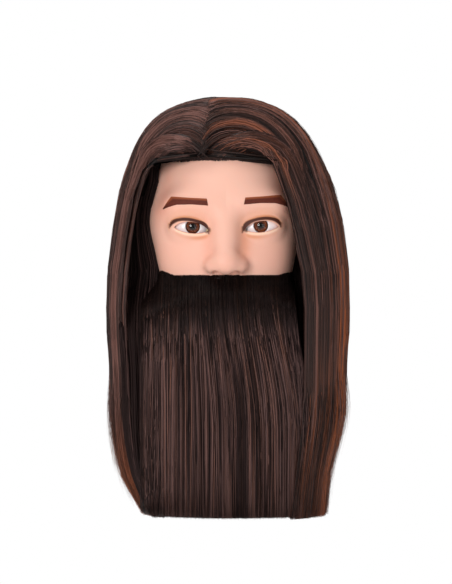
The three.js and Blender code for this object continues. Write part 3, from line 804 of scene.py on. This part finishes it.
def section(name, side, low, high, node):
    """One section of the hair: strands whose share from the face to the back lies between low and high."""
    count = SECTION_STRANDS
    share = RNG.uniform(low, high, count)
    paths, heading, fringe = hair_paths(side, share)
    arc = heading * 100
    # More steps where a strand bends most, near its root.
    half = DOME_POINTS // 2
    near, far, fall = paths[:, : half + 1], paths[:, half:DOME_POINTS], paths[:, DOME_POINTS - 1 :]
    paths = np.concatenate([resample(near, 11)[:, :-1], resample(far, 5)[:, :-1], resample(fall, 6)], 1)
    paths = to_edge(side, paths, share)
    steps = paths.shape[1]
    lit_and_shaded = sum(w * bell(share, at, wide) for at, wide, w in LIT_AND_SHADED_SWEEPS[side])
    base = 0.2 + 5.0 * RNG.random(count) ** 1.8
    base = base + 1.2 * (1 + waver(arc, 9, 21)) + 0.6 * (1 + waver(arc, 3, 22))
    edge = smooth(0.08, 0.0, share) * (fringe == 0)
    base = base + edge * RNG.uniform(0, 16, count)
    run = evenly(steps)[None, :]
    wander = 0.9 * waver(arc[:, None] * 0.3 + run * 5, 1.0, 23)
    early = paths[:, -1, 2] > HEM + 6
    splay = RNG.uniform(0, np.where(early, 7.0, 3.0)) * np.cos(heading) ** 2
    splay = splay * (RNG.random(count) < 0.6)
    depth = base[:, None] + wander + 3.0 * np.maximum(-lit_and_shaded, 0)[:, None] * smooth(170, 250, paths[..., 2])
    stray = (RNG.random(count) < 0.03) * RNG.uniform(0.5, 3.0, count)
    depth = np.maximum(depth, 0.3) - (splay + 0.6)[:, None] * smooth(0.84, 1.0, run)
    depth -= stray[:, None] * np.sin(math.pi * unit(1.6 * run - 0.2))
    depth += 2.2 * smooth(130, 190, paths[..., 2]) * smooth(295, 255, paths[..., 2])
    paths = inset_paths(paths, depth)
    # The fringe hugs the scalp near its roots.
    x, y, z = np.moveaxis(paths, -1, 0)
    near_root = (fringe > 0)[:, None] * smooth(24, 0, np.abs(x - x[:, :1])) * (z > 240)
    scalp = SKIN_FRONT(x, z) - 2.5 - RNG.uniform(0, 3, count)[:, None]
    paths = grid(x, mix(y, np.maximum(scalp, y), near_root), z)
    paths = behind_edge(side, paths, 0.6 * waver(arc, 2, 24)[:, None])
    paths = np.concatenate([roots(side, paths[:, 0], fringe), paths], 1)
    lock = waver(arc, 11, 30) * 0.4 + waver(arc, 5, 31) * 0.5 + waver(arc, 1.8, 32) * 0.4
    # Strands set deeper are painted darker, as shade; the rest of the tone varies by lock and at random.
    tone = unit(0.42 + 0.36 * lock + RNG.normal(0, 0.25, count) - 0.03 * (base - 3))
    height = paths[..., 2]
    from_part = np.abs(paths[..., 0] - paths[:, :1, 0])
    # Painted highlights and painted shade along the sweeps over the top, strongest away from the part.
    sweep = 0.42 * lit_and_shaded[:, None] * smooth(205, 262, height) * smooth(2, 16, from_part)
    # Painted shade along the part and at the fringe's roots; on the head's right, a painted highlight beside
    # the part.
    shaded = 0.3 * smooth(0.12, 0.0, share)[:, None] * smooth(14, 2, from_part)
    if side < 0:
        lit = smooth(0.03, 0.07, share) * smooth(0.3, 0.15, share)
        sweep = sweep + 0.3 * lit[:, None] * bell(from_part, 9, 8)
    shaded = shaded + 0.25 * (fringe > 0)[:, None] * smooth(16, 4, from_part)
    tone = unit(tone[:, None] + sweep - shaded)
    outside = side * paths[:, -4, 0]
    red = 0.16 * waver(arc, 8, 33)[:, None] * np.ones(height.shape)
    if side > 0:
        tone = unit(tone - 0.14 * smooth(100, 84, outside)[:, None] * smooth(240, 180, height))
        streaks = (RNG.random(count) < 0.6) * unit(0.65 + 0.55 * waver(arc, 5, 34))
        red += (1.2 * smooth(86, 108, outside) * streaks)[:, None] * mix(1.0, 0.3, smooth(140, 230, height))
        lower = (RNG.random(count) < 0.35) * smooth(66, 84, outside)
        red += 0.7 * lower[:, None] * smooth(90, 10, height)
        # The lit sweeps on the head's left are painted warmer, as a reddish highlight.
        red += 0.5 * np.maximum(lit_and_shaded, 0)[:, None] * smooth(190, 260, height)
    else:
        red += 0.65 * smooth(88, 104, outside)[:, None] * smooth(20, -60, height)
    width = RNG.uniform(0.55, 1.0, count)
    strands(name, paths, width, tone, unit(red), HAIR, "hair", node)


def behind_edge(side, paths, margin):
    """Keeps paths beside the face outside the curtain's inner edge and behind the hair's front."""
    x, y, z = np.moveaxis(paths, -1, 0)
    beside_face = y < BESIDE_FACE_Y
    beyond_edge = side * np.maximum(side * x, side * (curtain_edge(side, z) + side * margin))
    x = np.where(beside_face & (z < 250), beyond_edge, x)
    y = np.where(beside_face & (z < 262), np.maximum(y, hair_front_y(x, z) - 1.5), y)
    return grid(x, y, z)


def roots(side, starts, fringe):
    """The first two points of each strand: below its start, or on the hairline for the fringe."""
    deep = inset_paths(starts[:, None], np.full((len(starts), 1), 9.0))[:, 0]
    deep[:, 2] = np.maximum(deep[:, 2], HAIRLINE_Z + 4)
    z = HAIRLINE_Z + 1 + 6 * RNG.random(len(starts)) ** 2
    x = starts[:, 0] - side * RNG.uniform(1, 8, len(starts))
    line = np.stack([x, SKIN_FRONT(x, z) + 0.5, z], -1)
    first = np.where(fringe[:, None] > 0, line, deep)
    bend = mix(first, starts, 0.5) + np.where(fringe[:, None] > 0, 1.0, 0.0) * np.array([0, -1.2, 0.5])
    return np.stack([first, bend], 1)


def closed_sheet(name, outer, inner, tone, slot, *nodes):
    """A closed body of hair, painted darker than the strands as shade, between two grids of points, rows down
    and columns across.
    """
    rows, columns = outer.shape[:2]
    ring = np.concatenate([outer, inner[:, ::-1]], 1)
    faces = grid_faces(rows, 2 * columns, True)
    c = np.arange(columns - 1)
    top = np.stack([c, c + 1, 2 * columns - 2 - c, 2 * columns - 1 - c], -1)
    foot = top[:, ::-1] + (rows - 1) * 2 * columns
    tones = np.tile(np.concatenate([tone, tone[::-1]]), rows)
    values = {"tone": tones, "red": 0 * tones}
    sheet = new_mesh(name, ring, np.vstack([faces, top, foot]), values)
    place(sheet, SHADED_HAIR, slot, *nodes)


def hair_under(side):
    """The mass of hair under the strands, painted darker as shade, which also fills the space beside the face.
    """
    share = np.linspace(0, 1.02, 150)
    paths, heading, _ = hair_paths(side, share, 0.0)
    paths = to_edge(side, paths, share)
    arc = heading * 100
    ripple = 0.8 * waver(arc, 4, 43)[:, None] + np.zeros(paths.shape[:2])
    outer = behind_edge(side, inset_paths(paths, 8.0 + ripple + 4 * smooth(0.05, 0, share)[:, None]), 4.0)
    thickness = mix(18.0, 46.0, smooth(0.07, 0.14, share))[:, None] + 0 * ripple
    inner = behind_edge(side, inset_paths(paths, thickness), 4.0)
    tone = unit(0.2 + 0.18 * waver(arc, 3, 41) + 0.12 * waver(arc, 1.4, 42))
    nodes = ["hair_%s_%s" % (part, WORDS[side]) for part in ("front", "side", "back")] + ["hair_back_centre"]
    outer, inner = outer.transpose(1, 0, 2), inner.transpose(1, 0, 2)
    closed_sheet("hair_under_" + WORDS[side], outer, inner, tone, "hair", *nodes)


def face_edge(side, z):
    """Where the side of the face ends and the hair beside it starts."""
    known = [-86, 120, 143, 158, 177, 190, 205, 212, 217, 252]
    return side * np.interp(z, known, [64, 66, 58, 63, 68, 70.5, 70.5, 68, 63.5, 63.5])


def under_layer(side):
    """Dark hair between the face and the hanging front section, and beside the beard."""
    count = LAYER_STRANDS
    share = RNG.random(count)[:, None]
    top = np.where(share < 0.35, 248.0, 215.0)
    heights = mix(HEM + RNG.uniform(0, 6, count)[:, None], top, np.linspace(1, 0, 18)[None, :])
    half_width = hair_axes(heights, side < 0, True)[0]
    outside = side * half_width * hair_scale(heights) * 0.86
    x = mix(face_edge(side, heights), outside, share)
    x += 0.8 * waver(share * 30 + heights / 60, 1.0, 51)
    forward = -44 - 32 * smooth(135, 85, heights) * (1.0 if side < 0 else 0.5)
    y = forward - 7 * RNG.random(count)[:, None] + 5 * share
    y = y - 2 * waver(share * 40 + heights / 50, 3.0, 52)
    y = np.maximum(y, hair_front_y(x, heights) + 5)
    y = np.where(heights > 208, np.minimum(y, SKIN_FRONT(x, heights) - 1.2), y)
    tone = unit(0.33 + 0.15 * waver(share[:, 0] * 40, 3, 53) + RNG.normal(0, 0.17, count))
    paths = np.stack([x, y, heights], -1)
    name = "hair_under_layer_" + WORDS[side]
    strands(name, paths, np.full(count, 0.9), tone, 0 * tone, BEARD, "hair", "hair_side_" + WORDS[side])


# ---- Beard
def hair_front_y(x, z):
    """How far forward the hair's outside stands at (x, z)."""
    a, b = hair_axes(z, x < HAIR_X, True)
    across = np.clip(np.abs(x - HAIR_X) / (a * hair_scale(z)), 0, 0.985)
    return HAIR_Y - b * hair_scale(z) * (1 - across**RING_POWER) ** (1 / RING_POWER)


def standing_y(x, z):
    """How far forward the beard stands off the skin, further the lower it is."""
    return skin_y(x, z, SKIN_STOP, 3.4 + 36.6 * smooth(BEARD_TOP, 96, z))


def beard_y(x, z):
    front = hair_front_y(x, z) + 3.0 * smooth(70, 110, z)
    near = BEARD_STAND(x, np.maximum(z, 90)) - 1.2 * np.maximum(96 - z, 0)
    return -join(-front, -near, 26.0)


def beard_lean(x0):
    return 12 * smooth(-45, 2, x0) + 5 * smooth(2, 35, x0) - 6 * smooth(40, 64, x0)


def beard_top(x):
    return BEARD_TOP + 5 * smooth(-46, -64, x) + 3 * smooth(45, 62, x)


def beard_section(word, low, high, count):
    x0 = RNG.uniform(low, high, count)
    late = RNG.random(count) < 0.4
    z0 = beard_top(x0) - RNG.uniform(0, 1.6, count) - np.where(late, RNG.uniform(0, 40, count), 0)
    drop = evenly(40)[None, :] ** 1.3
    tip = HEM + 1.5 + RNG.uniform(0, 2.5, count)
    tip = tip + np.where(RNG.random(count) < 0.15, RNG.uniform(0, 30, count), 0)
    z = mix(z0[:, None], tip[:, None], drop)
    split = 2 + 12 * smooth(130, -20, z)
    x = x0[:, None] + beard_lean(x0)[:, None] * smooth(130, 0, z)
    gap = x - split
    x = x + np.sign(gap) * 1.1 * bell(gap, 0, 5) * smooth(70, 20, z)
    x = x + 0.9 * waver(x0[:, None] * 0.25 + z / 60, 1.0, 61) * smooth(141, 90, z)
    x = x + RNG.normal(0, 1.2, count)[:, None] * smooth(141, 0, z)
    depth = 0.2 + 6 * RNG.random(count) ** 1.8
    depth = depth + 1.0 * (1 + waver(x0, 7, 62)) + 0.5 * (1 + waver(x0, 2.5, 63))
    front = beard_y(x, z)
    rise = smooth(0, 0.07, drop)
    y = np.where(z > 96, np.minimum(front + depth[:, None], SKIN_FRONT(x, z)), front + depth[:, None])
    root = SKIN_FRONT(x0, z0)
    y = mix(root[:, None], y, rise)
    lines = grid(x, y, z)
    paths = np.concatenate([resample(lines[:, :14], 7)[:, :-1], resample(lines[:, 13:], 7)], 1)
    lock = waver(x0, 12, 69) * 0.3 + waver(x0, 5, 64) * 0.5 + waver(x0, 1.7, 65) * 0.4
    split_shade = bell(x0 + beard_lean(x0), 14, 5.5)
    # Strands set deeper are painted darker, as shade; the rest varies by lock and at random.
    tone = 0.45 + 0.14 * lock + RNG.normal(0, 0.3, count) - 0.03 * (depth - 3) - 0.3 * smooth(-68, -79, x0)
    begin = RNG.normal(0, 8, count)[:, None]
    broken = 0.16 * waver(paths[..., 0] * 0.8 + paths[..., 2] / 22, 1.0, 75)
    tone = tone[:, None] + broken + 0.1 * waver(paths[..., 0] / 9 + paths[..., 2] / 70, 1.0, 76)
    # Painted shade: near black towards the top under the nose, and darker along the split in the beard.
    tone = unit(tone) * mix(1.0, 0.04, smooth(76, 118, paths[..., 2] + begin))
    tone = tone * (1 - 0.65 * split_shade[:, None] * smooth(90, 10, paths[..., 2]))
    red = unit(0.5 * smooth(20, 60, x0) * waver(x0, 5, 70) + 0.15 * RNG.normal(0, 1, count))
    width = RNG.uniform(0.55, 0.95, count)
    strands("beard_strands_" + word, paths, width, tone, red, BEARD, "beard", "beard_" + word)


def beard_under():
    """The mass of the beard under its strands, painted darker as shade."""
    x0 = np.linspace(BEARD_RIGHT + 1, BEARD_LEFT - 1, 100)
    drop = evenly(60)[:, None] ** 1.3
    z = mix(beard_top(x0)[None] - 3, HEM + 2.5, drop)
    x = x0[None] + beard_lean(x0)[None] * smooth(130, 0, z)
    y = beard_y(x, z) + 7.5 + 0.7 * waver(x0, 4, 66)[None]
    y = np.where(z > 96, np.minimum(y, SKIN_FRONT(x, z) - 0.4), y)
    behind = np.where(z > 96, np.minimum(y + 16, SKIN_FRONT(x, z) + 2), y + 16)
    tone = unit(0.2 + 0.16 * waver(x0, 3, 67) + 0.1 * waver(x0, 1.3, 68))
    grids = [np.stack([x, depth, z], -1) for depth in (y, behind)]
    closed_sheet("beard_under", *grids, tone, "beard", "beard_right", "beard_centre", "beard_left")


def moustache():
    """Short dark hairs from under the nose down over the beard's top."""
    count, steps = MOUSTACHE_STRANDS, 9
    side = np.where(RNG.random(count) < 0.5, -1, 1)
    x0 = RNG.uniform(0.5, 27, count) * side
    z0 = 141 - RNG.uniform(0, 7, count)
    t = evenly(steps)[None, :]
    x = x0[:, None] + side[:, None] * 5 * t
    z = z0[:, None] - RNG.uniform(10, 20, count)[:, None] * t**1.2
    y = SKIN_FRONT(x, z) - 0.4 - RNG.uniform(1, 4, count)[:, None] * np.sin(math.pi * np.clip(t, 0, 0.8))
    tone = unit(RNG.normal(0.15, 0.1, count))
    width = RNG.uniform(0.5, 0.8, count)
    paths = grid(x, y, z)
    strands("moustache_strands", paths, width, tone, 0 * tone, BEARD, "beard", "moustache")


def hairline():
    """Short dark hairs that rise from the hairline and turn back under the sweep."""
    count, steps = HAIRLINE_STRANDS, 9
    x0 = RNG.uniform(-58, 42, count)
    z0 = HAIRLINE_Z + 0.8 * waver(x0, 5, 71) + RNG.uniform(0, 1, count) ** 2 * 9
    t = evenly(steps)[None, :]
    way = np.sign(x0 + 20)
    x = x0[:, None] + way[:, None] * RNG.uniform(3, 14, count)[:, None] * t**1.4
    z = z0[:, None] + RNG.uniform(7, 15, count)[:, None] * t
    stand = RNG.uniform(1.5, 4.5, count)[:, None] * np.sin(math.pi * 0.7 * t)
    y = SKIN_FRONT(x, z) - stand + 0.3
    tone = unit(RNG.normal(0.34, 0.16, count))
    width = RNG.uniform(0.45, 0.8, count)
    paths = grid(x, y, z)
    strands("hairline_strands", paths, width, tone, 0 * tone, HAIR, "hair", "hairline_roots")


# ---- Neck fittings, which keep their CAD shapes
def fitting_material(name, dark, light, rough, metallic=0.0, scale=120):
    m = Nodes(name, Roughness=rough, Metallic=metallic)
    m.colour(m.blend(m.noise(scale, 3), srgb(*dark), srgb(*light)))
    m.bump(m.noise(scale * 4, 2), 0.15, 0.0005)
    return m.material


def dress_fittings():
    finishes = {
        "foam_core": fitting_material("poured_foam", (214, 190, 140), (232, 212, 166), 0.9, 0, 260),
        "clamp_socket": fitting_material("moulded_socket", (28, 28, 30), (44, 44, 47), 0.45, 0, 60),
        "base_plate": fitting_material("pressed_board", (176, 140, 96), (200, 166, 120), 0.8, 0, 180),
    }
    steel = fitting_material("zinc_plated_steel", (150, 152, 156), (196, 198, 204), 0.3, 1.0, 90)
    finishes.update({"base_screw_%d" % i: steel for i in range(1, 5)})
    for node, finish in finishes.items():
        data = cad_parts[node].data
        data.materials.clear()
        data.materials.append(finish)


# ---- Stage
def area_light(name, location, target, size, power):
    light = bpy.data.lights.new(name, "AREA")
    light.shape, light.size, light.energy = "SQUARE", size, power
    obj = new_object(name, light)
    obj.location = location
    way = mathutils.Vector(target) - mathutils.Vector(location)
    obj.rotation_euler = way.to_track_quat("-Z", "Y").to_euler()


def build_stage():
    scene = bpy.context.scene
    scene.view_settings.view_transform = "Standard"
    half, level = 4000.0, -600.0
    corners = [[x * half, y * half, level] for x, y in ((-1, -1), (1, -1), (1, 1), (-1, 1))]
    floor = new_mesh("floor", corners, [[0, 1, 2, 3]])
    m = Nodes("pale_floor", Roughness=0.9, Emission_Color=grey(1), Emission_Strength=0.35)
    m.colour(m.blend(m.noise(3), grey(0.86), grey(0.9)))
    floor.data.materials.append(m.material)
    world = bpy.data.worlds.new("studio")
    world.use_nodes = True
    scene.world = world
    tree = world.node_tree
    # The world lights the head dimly, and the camera sees it white.
    lit, seen = tree.nodes["Background"], tree.nodes.new("ShaderNodeBackground")
    for background, strength in ((lit, 0.34), (seen, 1.0)):
        background.inputs["Color"].default_value = grey(1)
        background.inputs["Strength"].default_value = strength
    path = tree.nodes.new("ShaderNodeLightPath")
    choose = tree.nodes.new("ShaderNodeMixShader")
    tree.links.new(path.outputs["Is Camera Ray"], choose.inputs[0])
    tree.links.new(lit.outputs[0], choose.inputs[1])
    tree.links.new(seen.outputs[0], choose.inputs[2])
    tree.links.new(choose.outputs[0], tree.nodes["World Output"].inputs[0])
    middle = (0, -0.03, 0.15)
    area_light("key", (-0.75, -1.6, 0.48), middle, 0.7, 16.5)
    area_light("fill", (0.9, -1.6, 0.25), middle, 1.2, 4.5)
    area_light("top", (-0.25, -0.2, 1.3), middle, 0.8, 5.5)
    area_light("back", (0.5, 1.3, 0.8), middle, 0.9, 8)
    camera = bpy.data.cameras.new("camera")
    camera.sensor_width, camera.sensor_fit, camera.lens = 36, "AUTO", 36 * 3.2 / 0.549
    camera.clip_end = 30
    obj = new_object("camera", camera)
    obj.location = (0, -3.25, 0.125)
    obj.rotation_euler = (math.pi / 2, 0, 0)
    scene.camera = obj


WHITE, IRIS, CLEAR, BROW = white_material(), iris_material(), clear_material(), brow_material()
HAIR = hair_material("dark_brown_hair", (15, 9, 8), (50, 31, 27), (116, 82, 76), (176, 94, 52), 0.3)
# The hair's colours darkened, as painted shade for the masses under the strands.
SHADED_HAIR = hair_material("hair_in_shade", (10, 6, 5), (24, 16, 14), (44, 30, 26), (44, 30, 26), 0.1)
BEARD = hair_material("dark_brown_beard", (10, 6, 5), (44, 31, 30), (106, 80, 76), (150, 94, 66), 0.06)

build_stage()
build_skin()
for eye_side in WORDS:
    build_eye(eye_side)
    build_brow(eye_side)
SKIN_FRONT = Table(lambda x, z: skin_y(x, z, SKIN_STOP), (-84, 84), (60, 290))
BEARD_STAND = Table(standing_y, (-84, 84), (90, 150))
for hair_side in WORDS:
    hair_under(hair_side)
beard_under()
FRONT_SHARES, SIDE_SHARES, BACK_SHARES = (0.0, 0.08, 0.19, 0.3), (0.3, 0.46, 0.62), (0.62, 0.9)
SECTIONS = [  # name, side, shares from the face to the back
    ("front_right", -1, FRONT_SHARES), ("side_right", -1, SIDE_SHARES), ("back_right", -1, BACK_SHARES),
    ("back_centre", -1, (0.9, 1.1)), ("back_left", 1, BACK_SHARES), ("side_left", 1, SIDE_SHARES),
    ("front_left", 1, FRONT_SHARES),
]
for place_name, section_side, shares in SECTIONS:
    for number, (low, high) in enumerate(zip(shares, shares[1:]), 1):
        section("hair_%s_%d" % (place_name, number), section_side, low, high, "hair_" + place_name)
for layer_side in WORDS:
    under_layer(layer_side)
hairline()
beard_section("right", BEARD_RIGHT, -20, 1900)
beard_section("centre", -20, 24, 1500)
beard_section("left", 24, BEARD_LEFT, 1500)
moustache()
dress_fittings()

bpy.context.view_layer.update()
